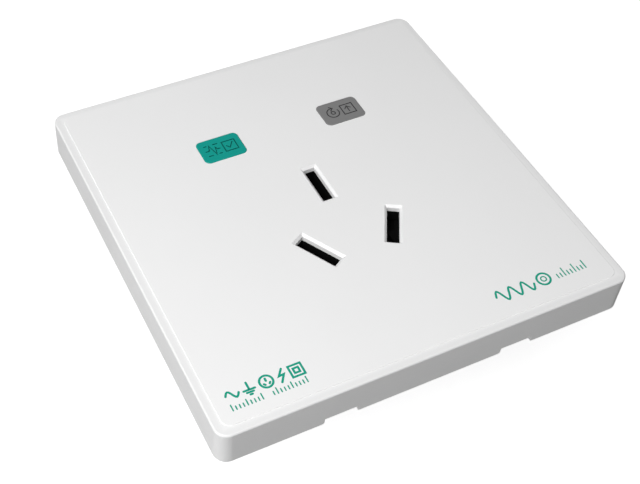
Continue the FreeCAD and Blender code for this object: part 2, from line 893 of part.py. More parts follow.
def contact_carrier():
    """The inner moulding: a plate with contact pockets, pillars, guide posts and board standoffs."""
    parts = [body_prism(body_wall + carrier_gap, (carrier_under, carrier_top))]
    parts += [pocket(name, pocket_wall, (carrier_top - join, pocket_top)) for name in PIN_PLACES]
    tools = [pocket(name, 0, (carrier_top, pocket_top + cut_over)) for name in PIN_PLACES]
    extras = [cut_all(fused(parts), tools + carrier_openings())]
    for x, y in pillar_places():
        extras.append(block(about(x, strip_half), about(y, strip_half), (carrier_top - join, strip_under)))
    guide_z = (carrier_top - join, well_under - 2 * stem_clearance)
    for side in SIDES:
        extras.append(upright(guide_radius, button_x, button_y + side * guide_offset, guide_z))
    standoff_z = (board_top, carrier_under + join)
    for x in about(0, board_half_x - standoff_inset):
        for y in (board_low_y + standoff_inset, board_high_y - standoff_inset):
            extras.append(upright(standoff_radius, x, y, standoff_z))
    leaf_x = about(-button_x, test_leaf_half_width)
    leaf_seat_z = (carrier_top - join, test_leaf_under)
    extras.append(block(leaf_x, (test_leaf_root_y, test_leaf_pivot_y), leaf_seat_z))
    return fused(extras)


# Conductor strips

def side_leg(side, grow, z_pair):
    """The upright leg of an input strip beside the housing wall."""
    y_pair = (terminal_front_y - grow, terminal_front_y + strip_thickness + grow)
    return block(about(side * side_strip_x, strip_half + grow), y_pair, z_pair)


def earth_leg(grow, z_pair):
    """The upright leg of the earth strip down to its terminal."""
    start_y = terminal_front_y - strip_half
    return block(about(0, strip_half + grow), (start_y - grow, start_y + strip_thickness + grow), z_pair)


def terminal_tab(side):
    """The tab of an input strip that lies on its terminal."""
    y = terminal_front_y + strip_thickness - strip_half
    path = [(side * side_strip_x, y), (side * terminal_x, y)]
    return flat_strip(path, strip_width, (terminal_top, terminal_top + strip_thickness))


def input_strip(side, path):
    """A supply strip: its tab on the terminal, its leg, and its run at the top."""
    run = flat_strip(path, strip_width, (strip_under, strip_top))
    return fused([run, side_leg(side, 0, (terminal_top, strip_top)), terminal_tab(side)])


def line_input_strip():
    """Line strip from its terminal up the side to the rear fixed contact."""
    end_y = terminal_front_y + strip_half
    return input_strip(1, [(line_pole_x, rear_pad_y), (side_strip_x, rear_pad_y), (side_strip_x, end_y)])


def neutral_input_strip():
    """Neutral strip from its terminal up the other side and across to the rear fixed contact."""
    path = [
        (-side_strip_x, terminal_front_y + strip_half),
        (-side_strip_x, neutral_cross_y),
        (neutral_rise_x, neutral_cross_y),
        (neutral_rise_x, rear_pad_y),
        (neutral_pole_x, rear_pad_y),
    ]
    return input_strip(-1, path)


def output_strip(path, foot):
    """A load strip: its run at the top, its leg at the end of the run, and its foot on the carrier."""
    x, y = path[-1]
    run = flat_strip(path, strip_width, (strip_under, strip_top))
    leg_y = (y - strip_half, y - strip_half + strip_thickness)
    leg = block(about(x, strip_half), leg_y, (carrier_top, strip_top))
    return fused([run, leg, flat_strip(foot, strip_width, (carrier_top, foot_top))])


def line_output_strip():
    """Line strip from the front fixed contact, down through the current sensor, to the line contact."""
    return output_strip([(line_pole_x, front_pad_y), (line_pole_x, line_drop_y)], line_foot)


def neutral_output_strip():
    """Neutral strip from the front fixed contact round the earth pocket to the neutral contact."""
    path = [
        (neutral_pole_x, front_pad_y),
        (neutral_pole_x, neutral_return_y),
        (neutral_drop_x, neutral_return_y),
        (neutral_drop_x, neutral_drop_y),
    ]
    return output_strip(path, neutral_foot)


def earth_strip():
    """Earth strip straight from its terminal to the earth contact."""
    run = flat_strip(earth_foot, strip_width, (carrier_top, foot_top))
    return fused([run, earth_leg(0, (terminal_top, foot_top))])


def fixed_contact_tips():
    """Silver tips under the ends of the fixed strips."""
    z_pair = (fixed_tip_under, strip_under)
    return Part.makeCompound([upright(tip_radius, x, y, z_pair) for x, y in pole_pads])


base_half_u = contact_base_gap / 2 + leaf_thickness
base_corner_y = pin_y + leaf_width / 2 * LEAN_COS + base_half_u * LEAN_SIN
line_face_x = pin_x + base_half_u / LEAN_COS + (line_drop_y + strip_half - pin_y) * LEAN_TAN
neutral_foot_x = neutral_drop_x - strip_half
line_foot = [(line_pole_x, line_drop_y), (line_face_x + strip_half + near, line_drop_y)]
neutral_foot = [(neutral_foot_x, neutral_drop_y), (neutral_foot_x, base_corner_y + strip_half + near)]
earth_foot = [(0, terminal_front_y), (0, earth_y - leaf_width / 2 - strip_half)]


# Terminals

def terminal(name):
    """A brass pillar terminal with one wire hole from behind and a clamp screw from below."""
    x = TERMINALS[name]
    body = block(about(x, terminal_half), about(terminal_y, terminal_half), (terminal_under, terminal_top))
    body = body.makeChamfer(terminal_edge, upright_edges(body))
    hole = upright(wire_radius, x, terminal_y, (terminal_under - cut_over, terminal_top + cut_over))
    start = (x, terminal_y - terminal_half - cut_over, terminal_screw_z)
    thread = rod(terminal_screw_radius, start, Y_AXIS, terminal_half + cut_over)
    return cut_all(body, [hole, thread])


def terminal_screws():
    """Slotted clamp screws, backed out so that a wire can go in."""
    screws = []
    head_y = body_low_y + body_wall / 2
    neck_y = terminal_y - terminal_half - near
    end_y = terminal_y - wire_radius - 2 * near
    for x in TERMINALS.values():
        head = rod(terminal_screw_head, (x, head_y, terminal_screw_z), Y_AXIS, neck_y - head_y)
        shank_y = neck_y - join
        shank = rod(terminal_screw_radius - hair, (x, shank_y, terminal_screw_z), Y_AXIS, end_y - shank_y)
        groove_y = (head_y - cut_over, head_y + terminal_groove)
        groove_z = about(terminal_screw_z, terminal_groove / 2)
        screws.append(fused([head, shank]).cut(block(about(x, terminal_screw_head), groove_y, groove_z)))
    return Part.makeCompound(screws)


# Circuit board and what it carries

def circuit_board():
    """The printed board under the carrier."""
    board = block(about(0, board_half_x), (board_low_y, board_high_y), (board_under, board_top))
    return board.makeFillet(board_corner, upright_edges(board))


def processor_chip():
    """The flat package that tells an arc from a normal load."""
    shapes = [block(about(0, chip_half), about(chip_y, chip_half), (board_top, board_top + chip_height))]
    for index in range(-3, 4):
        lead_x = about(index * lead_pitch, lead_half)
        lead_y = about(chip_y, chip_half + lead_reach)
        shapes.append(block(lead_x, lead_y, (board_top, board_top + lead_height)))
    return fused(shapes)


def varistor():
    """The round surge absorber, standing on its edge under the board."""
    x = -board_half_x + varistor_edge_x
    y = board_low_y + varistor_edge_y
    radius = (board_room - join - varistor_floor_gap) / 2
    z = board_under - radius - join
    disc = rod(radius, (x - varistor_thickness / 2, y, z), X_AXIS, varistor_thickness)
    disc = disc.makeFillet(varistor_thickness / 3, round_edges(disc))
    leads = []
    for lead_y in about(y, radius * 0.6):
        leads.append(upright(varistor_lead, x, lead_y, (z + radius * 0.6, board_under)))
    return fused([disc] + leads)


def filter_capacitor():
    """The boxed film capacitor across the supply."""
    low = body_floor_top + film_floor_gap
    film_y = board_low_y + film_edge_y
    box = block(about(film_x, film_half_x), about(film_y, film_half_y), (low, board_under))
    return box.makeFillet((board_under - low) / 10, box.Edges)


def bulk_capacitor():
    """The round can of the low-voltage supply."""
    low = body_floor_top + bulk_floor_gap
    can = upright(bulk_radius, board_half_x - bulk_edge_x, bulk_y, (low, board_under))
    return can.makeFillet(bulk_radius / 7, edges_at(can, low))


def supply_choke():
    """The drum-core choke of the supply."""
    low = body_floor_top + choke_floor_gap
    choke_x = -board_half_x + choke_edge_x
    ends = [(low, low + choke_end), (board_under - choke_end, board_under)]
    drum = [upright(choke_radius, choke_x, choke_y, z_pair) for z_pair in ends]
    return fused(drum + [upright(choke_waist, choke_x, choke_y, (low, board_under))])


def current_sensor():
    """The ring core round the line output strip."""
    low = foot_top + join
    y = line_drop_y - strip_half + strip_thickness / 2
    ring = upright(sensor_radius, line_pole_x, y, (low, low + sensor_height))
    ring = ring.cut(upright(sensor_bore, line_pole_x, y, (low - cut_over, low + 2 * sensor_height)))
    return ring.makeFillet((sensor_radius - sensor_bore) / 3, round_edges(ring))


# Trip solenoid

def solenoid_rod(radius, x_pair):
    """A cylinder on the solenoid's axis."""
    return rod(radius, (min(x_pair), button_y, solenoid_z), X_AXIS, max(x_pair) - min(x_pair))


def solenoid_yoke():
    """The folded steel frame round the coil."""
    y_pair = about(button_y, flange_radius + yoke_margin)
    top = solenoid_z + flange_radius
    shapes = [block((yoke_left, yoke_right), y_pair, (carrier_top, solenoid_z - flange_radius))]
    for x_pair in ((yoke_left, solenoid_left), (solenoid_right, yoke_right)):
        shapes.append(block(x_pair, y_pair, (carrier_top, top)))
    bore = solenoid_rod(plunger_radius + plunger_gap, (yoke_left - cut_over, yoke_right + cut_over))
    return cut_all(fused(shapes), [bore])


def solenoid_bobbin():
    """The moulded spool of the solenoid."""
    spool = solenoid_rod(tube_radius, (solenoid_left, solenoid_right))
    left = solenoid_rod(flange_radius, (solenoid_left, solenoid_left + flange_thickness))
    right = solenoid_rod(flange_radius, (solenoid_right - flange_thickness, solenoid_right))
    bore = solenoid_rod(plunger_radius + plunger_gap, (yoke_left, yoke_right))
    return fused([spool, left, right]).cut(bore)


def solenoid_coil():
    """The copper winding, as one body between the flanges."""
    x_pair = (solenoid_left + flange_thickness, solenoid_right - flange_thickness)
    return solenoid_rod(coil_radius, x_pair).cut(solenoid_rod(tube_radius, x_pair))


def solenoid_plunger():
    """The steel plunger with its nose towards the latch and a collar on its tail."""
    collar_right = yoke_left - collar_stand
    core = solenoid_rod(plunger_radius, (solenoid_left + core_setback, yoke_right))
    nose = solenoid_rod(neck_radius, (solenoid_right, latch_left - nose_gap))
    tail = solenoid_rod(neck_radius, (collar_right - collar_thickness, solenoid_right))
    collar = solenoid_rod(collar_radius, (collar_right - collar_thickness, collar_right))
    return fused([core, nose, tail, collar])


def plunger_spring():
    """The spring that draws the plunger back after a trip."""
    start = (yoke_left - collar_stand + hair, button_y, solenoid_z)
    room = collar_stand - 2 * hair
    radius = plunger_radius + plunger_gap + small_spring_wire
    return coil_spring(start, X_AXIS, room, radius, small_spring_wire, plunger_spring_turns)


# Contact carriage and latch

def contact_carriage():
    """The block on the reset stem that lifts both contact bridges and carries the latch plate."""
    x_pair = about(button_x, carriage_half_x)
    body_top = bridge_under - 2 * latch_gap
    lip_under = latch_under - carriage_lip
    wing_z = (carriage_under, carriage_floor_top)
    parts = [block(x_pair, about(button_y, carriage_half_y), (carriage_under, body_top))]
    for x in (line_pole_x, neutral_pole_x):
        parts.append(block(about(x, wing_half_x), about(bridge_y, wing_half_y), wing_z))
        parts.append(upright(peg_radius, x, bridge_y, (carriage_under, bridge_top + join)))
    for side in SIDES:
        outer = button_y + side * carriage_half_y
        wall = button_y + side * (latch_half_y + latch_gap)
        lip = button_y + side * (latch_half_y - carriage_lip)
        parts.append(block(x_pair, (wall, outer), (lip_under, carriage_under + join)))
        parts.append(block(x_pair, (lip, outer), (lip_under, latch_under - latch_gap / 2)))
        ear_half = guide_radius + carriage_ear
        ear_y = (button_y, button_y + side * (guide_offset + ear_half))
        ear_z = (carriage_under, carriage_under + 2 * carriage_floor)
        parts.append(block(about(button_x, ear_half), ear_y, ear_z))
    bore_z = (lip_under - cut_over, body_top + cut_over)
    tools = [upright(stem_radius + stem_clearance, button_x, button_y, bore_z)]
    for y in about(button_y, guide_offset):
        tools.append(upright(guide_radius + guide_gap, button_x, y, bore_z))
    return cut_all(fused(parts), tools)


def bridge(pole_x):
    """A copper strip that joins a pole's two fixed contacts when the carriage is up."""
    half = bridge_width / 2
    y_pair = about(bridge_y, bridge_reach + bridge_overhang)
    strip = block(about(pole_x, half), y_pair, (bridge_under, bridge_top))
    strip = strip.makeFillet(half / 2, upright_edges(strip))
    hole_z = (bridge_under - cut_over, bridge_top + cut_over)
    return strip.cut(upright(peg_radius + latch_gap, pole_x, bridge_y, hole_z))


def bridge_tips():
    """Silver tips on the ends of both bridges."""
    return Part.makeCompound([upright(tip_radius, x, y, (bridge_top, bridge_tip_top)) for x, y in pole_pads])


def bridge_springs():
    """The short springs that press the bridges up."""
    springs = []
    room = contact_spring_height - 2 * hair
    for x in (line_pole_x, neutral_pole_x):
        start = (x, bridge_y, carriage_floor_top + hair)
        spring = coil_spring(start, Z_AXIS, room, small_spring_radius, small_spring_wire, bridge_spring_turns)
        springs.append(spring)
    return Part.makeCompound(springs)


def latch_plate():
    """The steel plate whose keyhole holds the head of the reset stem until the plunger pushes it."""
    z_pair = (latch_under, latch_top)
    through = (latch_under - cut_over, latch_top + cut_over)
    right = button_x + latch_reach_right
    plate = block((latch_left, right), about(button_y, latch_half_y), z_pair)
    tab_x = (latch_left, latch_left + latch_thickness)
    tab = block(tab_x, about(button_y, latch_half_y / 2), (latch_top - latch_tab, latch_top))
    wide_x = button_x - trip_travel
    half_way = neck_radius + latch_gap
    tools = [upright(stem_radius + latch_gap + near, wide_x, button_y, through)]
    tools.append(upright(half_way, button_x, button_y, through))
    tools.append(block((wide_x, button_x), about(button_y, half_way), through))
    return cut_all(fused([plate, tab]), tools)


# Buttons

def button_cap(side):
    """A push button: a rounded cap in its window, a wider skirt behind the face and a spring hollow."""
    centre = (side * button_x, button_y)
    under = (flange_under - cut_over, cap_roof_under)
    top = rounded_prism(*cap_half, window_corner - window_gap, (flange_under, cap_top), centre)
    top = top.makeFillet(button_edge_round, edges_at(top, cap_top))
    skirt = rounded_prism(*flange_half, window_corner, (flange_under, flange_top), centre)
    hollow_half = (flange_half[0] - button_shell, flange_half[1] - button_shell)
    hollow_z = (flange_under - cut_over, flange_top - button_shell)
    hollow = rounded_prism(*hollow_half, window_corner / 3, hollow_z, centre)
    seat = upright(button_spring_radius + button_spring_wire, *centre, under)
    return cut_all(fused([top, skirt]), [hollow, seat])


def test_button():
    """The test button with its moulded stem."""
    stem = upright(stem_radius, -button_x, button_y, (test_leaf_top + test_stem_gap, cap_roof_under + join))
    return fused([button_cap(-1), stem])


def reset_button():
    """The reset button with a socket for its steel stem."""
    socket_z = (flange_under - cut_over, cap_roof_under + button_roof / 2)
    return button_cap(1).cut(upright(stem_radius, button_x, button_y, socket_z))


def reset_stem():
    """The steel stem of the reset button, with the neck and pointed head that the latch holds."""
    shoulder = latch_top + stem_shoulder
    body = upright(stem_radius, button_x, button_y, (shoulder, cap_roof_under + button_roof / 2))
    neck = upright(neck_radius, button_x, button_y, (head_top - join, shoulder + join))
    head = upright(stem_radius, button_x, button_y, (head_under, head_top))
    tip = V(button_x, button_y, head_under - head_point)
    point = Part.makeCone(neck_radius / 2, stem_radius, head_point, tip, Z_AXIS)
    return fused([body, neck, head, point])


def button_spring(side):
    """The return spring round a button's stem."""
    start = (side * button_x, button_y, well_floor + hair)
    room = cap_roof_under - well_floor - 2 * hair
    return coil_spring(start, Z_AXIS, room, button_spring_radius, button_spring_wire, button_spring_turns)


# Test switch

def test_leaf():
    """The springy strip that the test button presses down."""
    y_pair = (test_leaf_root_y, test_post_y + test_post_radius)
    return block(about(-button_x, test_leaf_half_width), y_pair, (test_leaf_under, test_leaf_top))


def test_contact_pin():
    """The fixed pin that the leaf touches when the test button is down."""
    reach = test_post_y + test_post_radius - test_leaf_pivot_y
    top = test_leaf_under - reach * math.sin(test_leaf_swing) - near
    return upright(test_post_radius, -button_x, test_post_y, (carrier_top, top))


NODES = {
    "faceplate": faceplate,
    "mounting_frame": mounting_frame,
    "socket_core": socket_core,
    "contact_carrier": contact_carrier,
    "rear_housing": rear_housing,
    "housing_screws": housing_screws,
    "line_contact": lambda: pin_contact("line"),
    "neutral_contact": lambda: pin_contact("neutral"),
    "earth_contact": lambda: pin_contact("earth"),
    "line_terminal": lambda: terminal("line"),
    "neutral_terminal": lambda: terminal("neutral"),
    "earth_terminal": lambda: terminal("earth"),
    "terminal_screws": terminal_screws,
    "line_input_strip": line_input_strip,
    "line_output_strip": line_output_strip,
    "neutral_input_strip": neutral_input_strip,
    "neutral_output_strip": neutral_output_strip,
    "earth_strip": earth_strip,
    "fixed_contact_tips": fixed_contact_tips,
    "circuit_board": circuit_board,
    "processor_chip": processor_chip,
    "varistor": varistor,
    "filter_capacitor": filter_capacitor,
    "bulk_capacitor": bulk_capacitor,
    "supply_choke": supply_choke,
    "current_sensor": current_sensor,
    "solenoid_yoke": solenoid_yoke,
    "solenoid_bobbin": solenoid_bobbin,
    "solenoid_coil": solenoid_coil,
    "solenoid_plunger": solenoid_plunger,
    "plunger_spring": plunger_spring,
    "contact_carriage": contact_carriage,
    "line_bridge": lambda: bridge(line_pole_x),
    "neutral_bridge": lambda: bridge(neutral_pole_x),
    "bridge_tips": bridge_tips,
    "bridge_springs": bridge_springs,
    "latch_plate": latch_plate,
    "pin_shutter": pin_shutter,
    "shutter_spring": shutter_spring,
    "test_button": test_button,
    "test_button_spring": lambda: button_spring(-1),
    "test_leaf": test_leaf,
    "test_contact_pin": test_contact_pin,
    "reset_button": reset_button,
    "reset_stem": reset_stem,
    "reset_button_spring": lambda: button_spring(1),
}


def main():
    """Builds every node and writes one STEP file for each."""
    os.makedirs("parts", exist_ok=True)
    for name, build in NODES.items():
        shape = build()
        shape.exportStep("parts/" + name + ".step")
        print(name, "solids", len(shape.Solids), "volume", round(shape.Volume, 2), "valid", shape.isValid())


main()
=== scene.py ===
import json
import math

import bmesh
import bpy
from mathutils import Euler, Matrix, Vector


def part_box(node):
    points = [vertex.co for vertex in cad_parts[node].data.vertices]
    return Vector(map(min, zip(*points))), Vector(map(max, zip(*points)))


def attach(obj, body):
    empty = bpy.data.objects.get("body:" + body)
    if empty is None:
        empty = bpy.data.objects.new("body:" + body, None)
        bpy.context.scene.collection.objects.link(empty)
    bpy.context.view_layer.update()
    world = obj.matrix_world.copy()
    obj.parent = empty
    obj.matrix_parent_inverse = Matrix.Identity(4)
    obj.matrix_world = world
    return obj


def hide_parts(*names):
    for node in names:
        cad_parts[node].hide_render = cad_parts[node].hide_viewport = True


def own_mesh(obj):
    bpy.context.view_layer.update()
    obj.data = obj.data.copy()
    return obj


# A square wall socket with an arc fault interrupter, lying on its back. Metres, in the frame's own axes:
# +Z points out of the wall, +Y is up on the wall, and z = 0 is the wall plane.

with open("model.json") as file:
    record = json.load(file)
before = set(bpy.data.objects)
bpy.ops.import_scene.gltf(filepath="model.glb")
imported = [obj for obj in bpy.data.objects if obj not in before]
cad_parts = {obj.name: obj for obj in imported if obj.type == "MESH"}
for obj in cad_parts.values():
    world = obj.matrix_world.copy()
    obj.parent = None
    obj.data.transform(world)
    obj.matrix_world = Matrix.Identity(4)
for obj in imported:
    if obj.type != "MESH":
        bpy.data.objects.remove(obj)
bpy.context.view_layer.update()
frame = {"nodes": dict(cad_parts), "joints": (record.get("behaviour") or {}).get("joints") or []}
nodes = frame["nodes"]
MM = 0.001

# Places read from the frame
plate_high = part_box("faceplate")[1]
FACE_Z = plate_high[2]
PLATE_HALF = plate_high[0]
FLOOR_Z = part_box("rear_housing")[0][2]

# The face's own layer, and the cap above the face's skin
FACE_LAYER_Z = FACE_Z - 0.6 * MM
FACE_UNDER_Z = FACE_Z - 1.5 * MM


# Node helpers for materials

# A noise texture's values lie mostly between these two
RAMP_LOW = 0.35
RAMP_HIGH = 0.65


def new_material(name):
    """An empty node material with its principled shader and output."""
    material = bpy.data.materials.new(name)
    material.use_nodes = True
    shader = material.node_tree.nodes["Principled BSDF"]
    return material, material.node_tree, shader


def add_noise(tree, scale, detail, rough, stretch=(1, 1, 1)):
    """A noise texture in object space; scale is waves per metre."""
    coords = tree.nodes.new("ShaderNodeTexCoord")
    mapping = tree.nodes.new("ShaderNodeMapping")
    mapping.inputs["Scale"].default_value = stretch
    noise = tree.nodes.new("ShaderNodeTexNoise")
    noise.inputs["Scale"].default_value = scale
    noise.inputs["Detail"].default_value = detail
    noise.inputs["Roughness"].default_value = rough
    tree.links.new(coords.outputs["Object"], mapping.inputs["Vector"])
    tree.links.new(mapping.outputs["Vector"], noise.inputs["Vector"])
    return noise


def add_bump(tree, shader, height, depth, strength):
    """A bump of a real depth in metres on a shader."""
    bump = tree.nodes.new("ShaderNodeBump")
    bump.inputs["Distance"].default_value = depth
    bump.inputs["Strength"].default_value = strength
    tree.links.new(height, bump.inputs["Height"])
    tree.links.new(bump.outputs["Normal"], shader.inputs["Normal"])


def add_ramp(tree, source, low, high):
    """A ramp between two colours over a noise texture's middle range."""
    ramp = tree.nodes.new("ShaderNodeValToRGB")
    ramp.color_ramp.elements[0].position = RAMP_LOW
    ramp.color_ramp.elements[1].position = RAMP_HIGH
    ramp.color_ramp.elements[0].color = (*low, 1)
    ramp.color_ramp.elements[1].color = (*high, 1)
    tree.links.new(source, ramp.inputs["Fac"])
    return ramp


def shade(colour, factor):
    """A colour made darker or lighter."""
    return tuple(min(c * factor, 1.0) for c in colour)


def grey(value):
    """A neutral colour."""
    return (value, value, value)


# Materials

def moulded_plastic(name, colour, roughness, grain=5000, depth=0.004, mottle=0.015, specular=0.5):
    """Moulded plastic: a fine spark-eroded grain, slow colour drift and uneven gloss."""
    material, tree, shader = new_material(name)
    shader.inputs["Specular IOR Level"].default_value = specular
    drift = add_noise(tree, 60, 3, 0.5)
    ramp = add_ramp(tree, drift.outputs["Fac"], shade(colour, 1 - mottle), shade(colour, 1 + mottle))
    tree.links.new(ramp.outputs["Color"], shader.inputs["Base Color"])
    gloss = add_ramp(tree, drift.outputs["Fac"], grey(roughness * 0.94), grey(roughness * 1.06))
    tree.links.new(gloss.outputs["Color"], shader.inputs["Roughness"])
    fine = add_noise(tree, grain, 2, 0.6)
    add_bump(tree, shader, fine.outputs["Fac"], depth * MM, 0.35)
    return material


def paint_band_shade(material, low, high, factor):
    """Paints shade on a face's border: darkens it smoothly outwards, between two distances from the
    middle.
    """
    tree = material.node_tree
    shader = tree.nodes["Principled BSDF"]
    coords = tree.nodes.new("ShaderNodeTexCoord")
    parts = tree.nodes.new("ShaderNodeSeparateXYZ")
    tree.links.new(coords.outputs["Object"], parts.inputs["Vector"])
    across = [math_node(tree, "ABSOLUTE", parts.outputs[axis]) for axis in ("X", "Y")]
    fade = tree.nodes.new("ShaderNodeMapRange")
    fade.interpolation_type = "SMOOTHSTEP"
    fade.inputs["From Min"].default_value = low
    fade.inputs["From Max"].default_value = high
    tree.links.new(math_node(tree, "MAXIMUM", *across), fade.inputs["Value"])
    upper = math_node(tree, "GREATER_THAN", parts.outputs["Z"], FACE_LAYER_Z)
    band = math_node(tree, "MULTIPLY", fade.outputs["Result"], upper)
    scale = math_node(tree, "MULTIPLY_ADD", band, factor - 1, 1.0)
    painted_shade = tree.nodes.new("ShaderNodeVectorMath")
    painted_shade.operation = "SCALE"
    source = shader.inputs["Base Color"].links[0].from_socket
    tree.links.new(source, painted_shade.inputs["Vector"])
    tree.links.new(scale, painted_shade.inputs["Scale"])
    tree.links.new(painted_shade.outputs["Vector"], shader.inputs["Base Color"])


def math_node(tree, operation, *values):
    """A math node over sockets and numbers; gives its output socket."""
    node = tree.nodes.new("ShaderNodeMath")
    node.operation = operation
    for socket, value in zip(node.inputs, values):
        if isinstance(value, (int, float)):
            socket.default_value = value
        else:
            tree.links.new(value, socket)
    return node.outputs["Value"]


def rolled_metal(name, colour, roughness, stretch=(1, 1, 1), wear=0.12, scale=900):
    """Stamped or turned metal: rolling streaks, slight tarnish and uneven polish."""
    material, tree, shader = new_material(name)
    shader.inputs["Metallic"].default_value = 1.0
    streak = add_noise(tree, scale, 6, 0.65, stretch)
    ramp = add_ramp(tree, streak.outputs["Fac"], shade(colour, 1 - wear), colour)
    tree.links.new(ramp.outputs["Color"], shader.inputs["Base Color"])
    polish = add_ramp(tree, streak.outputs["Fac"], grey(roughness * 0.8), grey(roughness * 1.25))
    tree.links.new(polish.outputs["Color"], shader.inputs["Roughness"])
    add_bump(tree, shader, streak.outputs["Fac"], 0.004 * MM, 0.3)
    return material


# Blender's wave texture multiplies a position by this before it takes the sine
WAVE_TEXTURE_SCALE = 20


def wound_wire(name, colour, pitch):
    """Enamelled wire wound round the X axis, turn beside turn, with painted shade in the creases between
    the turns.
    """
    material, tree, shader = new_material(name)
    shader.inputs["Metallic"].default_value = 1.0
    shader.inputs["Roughness"].default_value = 0.3
    turns = tree.nodes.new("ShaderNodeTexWave")
    turns.bands_direction = "X"
    turns.inputs["Scale"].default_value = 2 * math.pi / (WAVE_TEXTURE_SCALE * pitch)
    coords = tree.nodes.new("ShaderNodeTexCoord")
    tree.links.new(coords.outputs["Object"], turns.inputs["Vector"])
    # Painted shade: the colour darkens in the creases between the turns
    ramp = add_ramp(tree, turns.outputs["Fac"], shade(colour, 0.35), colour)
    tree.links.new(ramp.outputs["Color"], shader.inputs["Base Color"])
    add_bump(tree, shader, turns.outputs["Fac"], pitch / 2, 0.8)
    return material


def board_lacquer(name):
    """Green solder mask over glass cloth, paler where it covers the copper tracks."""
    material, tree, shader = new_material(name)
    cloth = tree.nodes.new("ShaderNodeTexWave")
    cloth.inputs["Scale"].default_value = 900
    cloth.inputs["Distortion"].default_value = 1.5
    coords = tree.nodes.new("ShaderNodeTexCoord")
    tree.links.new(coords.outputs["Object"], cloth.inputs["Vector"])
    ramp = add_ramp(tree, cloth.outputs["Fac"], (0.012, 0.12, 0.045), (0.02, 0.17, 0.06))
    tracks = tree.nodes.new("ShaderNodeTexBrick")
    tracks.inputs["Scale"].default_value = 90
    tracks.inputs["Mortar Size"].default_value = 0.04
    tracks.inputs["Mortar"].default_value = (0.05, 0.3, 0.11, 1)
    tree.links.new(coords.outputs["Object"], tracks.inputs["Vector"])
    for brick in ("Color1", "Color2"):
        tree.links.new(ramp.outputs["Color"], tracks.inputs[brick])
    tree.links.new(tracks.outputs["Color"], shader.inputs["Base Color"])
    shader.inputs["Roughness"].default_value = 0.35
    add_bump(tree, shader, cloth.outputs["Fac"], 0.01 * MM, 0.3)
    return material


WHITE = grey(0.80)
TEAL = (0.0055, 0.288, 0.243)
SLATE = grey(0.196)
PRINT_TEAL = (0.0103, 0.305, 0.209)

# The painted shade on the face's border, and the distances from the plate's edge where it starts and is
# full
BAND_PAINTED_SHADE = 0.94
BAND_INNER = 2.0 * MM
BAND_OUTER = 1.0 * MM

cover_white = moulded_plastic("cover_white", WHITE, 0.42, grain=4000, depth=0.003, mottle=0.004)
# Painted shade: the border of the face is made darker towards the rim
paint_band_shade(cover_white, PLATE_HALF - BAND_INNER, PLATE_HALF - BAND_OUTER, BAND_PAINTED_SHADE)
frame_white = moulded_plastic("frame_white", grey(0.74), 0.55, grain=3000, depth=0.008)
housing_white = moulded_plastic("housing_white", grey(0.76), 0.5, grain=2500, depth=0.01, mottle=0.01)
core_black = moulded_plastic("core_black", grey(0.002), 0.8, grain=3000, depth=0.006, specular=0.08)
carriage_brown = moulded_plastic("carriage_brown", (0.2, 0.075, 0.045), 0.5)
BUTTON_FINISH = {"grain": 4500, "depth": 0.003, "mottle": 0.02, "specular": 0.1}
teal_plastic = moulded_plastic("teal_plastic", TEAL, 0.42, **BUTTON_FINISH)
# Painted shade: the grooves of the engraved signs get darker copies of the button colours
teal_groove_painted_shade = moulded_plastic("teal_groove_painted_shade", shade(TEAL, 0.38), 0.6, specular=0.1)
slate_plastic = moulded_plastic("slate_plastic", SLATE, 0.42, **BUTTON_FINISH)
slate_groove_painted_shade = moulded_plastic("slate_groove_painted_shade", shade(SLATE, 0.27), 0.6, specular=0.1)
INK_FINISH = {"grain": 8000, "depth": 0.001, "mottle": 0.03, "specular": 0.1}
teal_ink = moulded_plastic("teal_ink", PRINT_TEAL, 0.5, **INK_FINISH)
brass = rolled_metal("brass", (0.78, 0.55, 0.24), 0.28, stretch=(1, 6, 1))
silver = rolled_metal("silver", (0.82, 0.81, 0.78), 0.3)
zinc = rolled_metal("zinc", (0.62, 0.64, 0.66), 0.32, wear=0.2, scale=700)
steel = rolled_metal("steel", (0.5, 0.5, 0.51), 0.3, stretch=(8, 1, 1))
copper = rolled_metal("copper", (0.75, 0.33, 0.17), 0.25, scale=1500)
WIRE_PITCH = 0.25 * MM
winding = wound_wire("winding", (0.75, 0.3, 0.14), WIRE_PITCH)
lacquer = board_lacquer("lacquer")
varistor_blue = moulded_plastic("varistor_blue", (0.02, 0.08, 0.32), 0.3, grain=900, depth=0.02)
film_yellow = moulded_plastic("film_yellow", (0.72, 0.45, 0.03), 0.35, grain=1500)
can_metal = rolled_metal("can_metal", (0.72, 0.72, 0.74), 0.35, stretch=(1, 1, 0.1))
ferrite = moulded_plastic("ferrite", grey(0.035), 0.45, grain=2500, depth=0.02)
resin_black = moulded_plastic("resin_black", grey(0.02), 0.5, grain=3500, depth=0.008)

